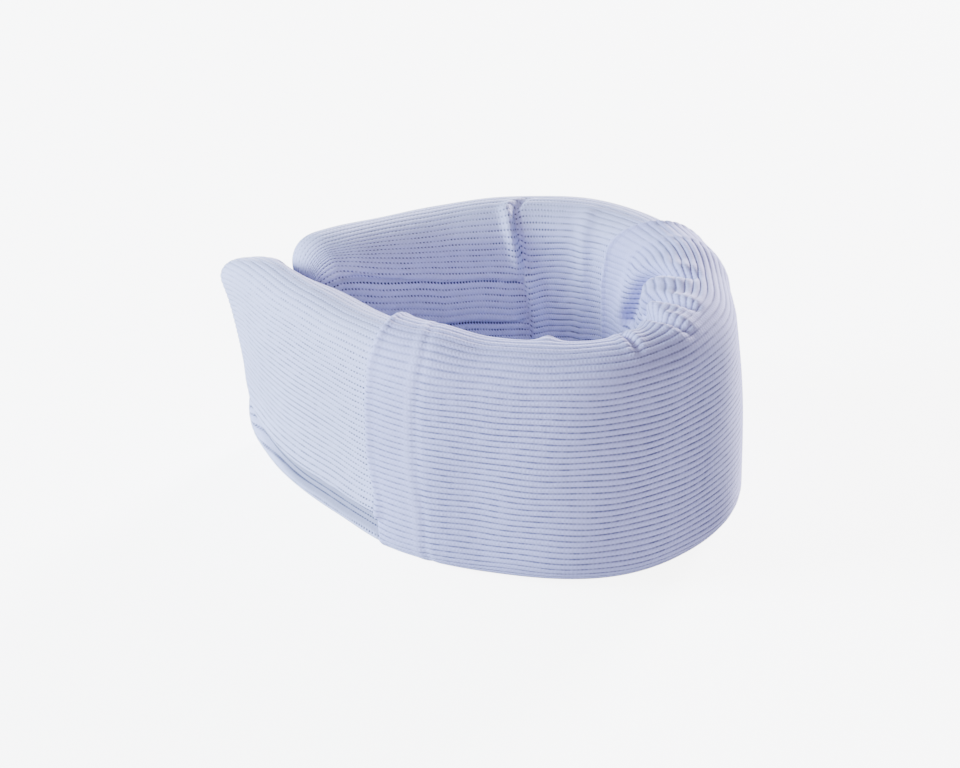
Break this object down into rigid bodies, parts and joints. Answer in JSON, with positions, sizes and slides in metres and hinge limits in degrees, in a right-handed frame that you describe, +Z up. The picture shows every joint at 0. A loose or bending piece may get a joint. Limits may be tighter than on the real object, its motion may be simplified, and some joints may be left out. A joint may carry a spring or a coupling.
{
  "type": "soft cervical collar",
  "caption": "Soft foam neck collar in a ribbed knit cover with a hemmed outer sleeve, curled into a loop, with a hook-and-loop closing flap.",
  "frame": {"origin": "on the table, under the middle of the collar's bounding box, with the collar standing on its long edge", "axes": "+Z up; +X along the collar's length, from the overlapping ends towards the tight bend; the side that faces the wearer's chin when worn is at -Y"},
  "size_m": [0.2013, 0.1429, 0.097],
  "materials": {
    "foam": "matte open-cell polyurethane foam",
    "cover_knit": "matte ribbed tubular knit",
    "sleeve_knit": "matte ribbed tubular knit",
    "thread": "matte sewing thread",
    "hook_tape": "nylon hook tape",
    "loop_tape": "brushed nylon loop tape"
  },
  "bodies": {
    "front": {"foam_front": "foam", "cover_front": "cover_knit", "hem_near": "sleeve_knit", "hem_stitching_near": "thread", "sleeve_front": "sleeve_knit"},
    "near_arm": {"foam_near_arm": "foam", "cover_near_arm": "cover_knit"},
    "flap": {"foam_flap": "foam", "cover_flap": "cover_knit", "end_seam_flap": "thread", "hook_tape": "hook_tape", "hook_tape_stitching": "thread"},
    "back": {"foam_back": "foam", "cover_back": "cover_knit", "sleeve_back": "sleeve_knit", "hem_stitching_far": "thread", "hem_far": "sleeve_knit"},
    "tucked_end": {"foam_tucked_end": "foam", "cover_tucked_end": "cover_knit", "end_seam_tucked": "thread", "loop_tape": "loop_tape", "loop_tape_stitching": "thread"}
  },
  "joints": [
    {"name": "near_arm_bend", "type": "hinge", "parent": "front", "child": "near_arm", "pos_m": [-0.0449, -0.0451, 0.0485], "axis": [0, 0, 1], "range_deg": [0, 40], "stiffness_Nm_per_rad": 0.06},
    {"name": "flap_bend", "type": "hinge", "parent": "near_arm", "child": "flap", "pos_m": [-0.0833, -0.0044, 0.0485], "axis": [0, 0, 1], "range_deg": [0, 60], "stiffness_Nm_per_rad": 0.05},
    {"name": "back_bend", "type": "hinge", "parent": "front", "child": "back", "pos_m": [0.1003, -0.0171, 0.0485], "axis": [0, 0, -1], "range_deg": [0, 45], "stiffness_Nm_per_rad": 0.06},
    {"name": "tucked_end_bend", "type": "hinge", "parent": "back", "child": "tucked_end", "pos_m": [0.0125, 0.0723, 0.0485], "axis": [0, 0, 1], "range_deg": [0, 12], "stiffness_Nm_per_rad": 0.05}
  ]
}
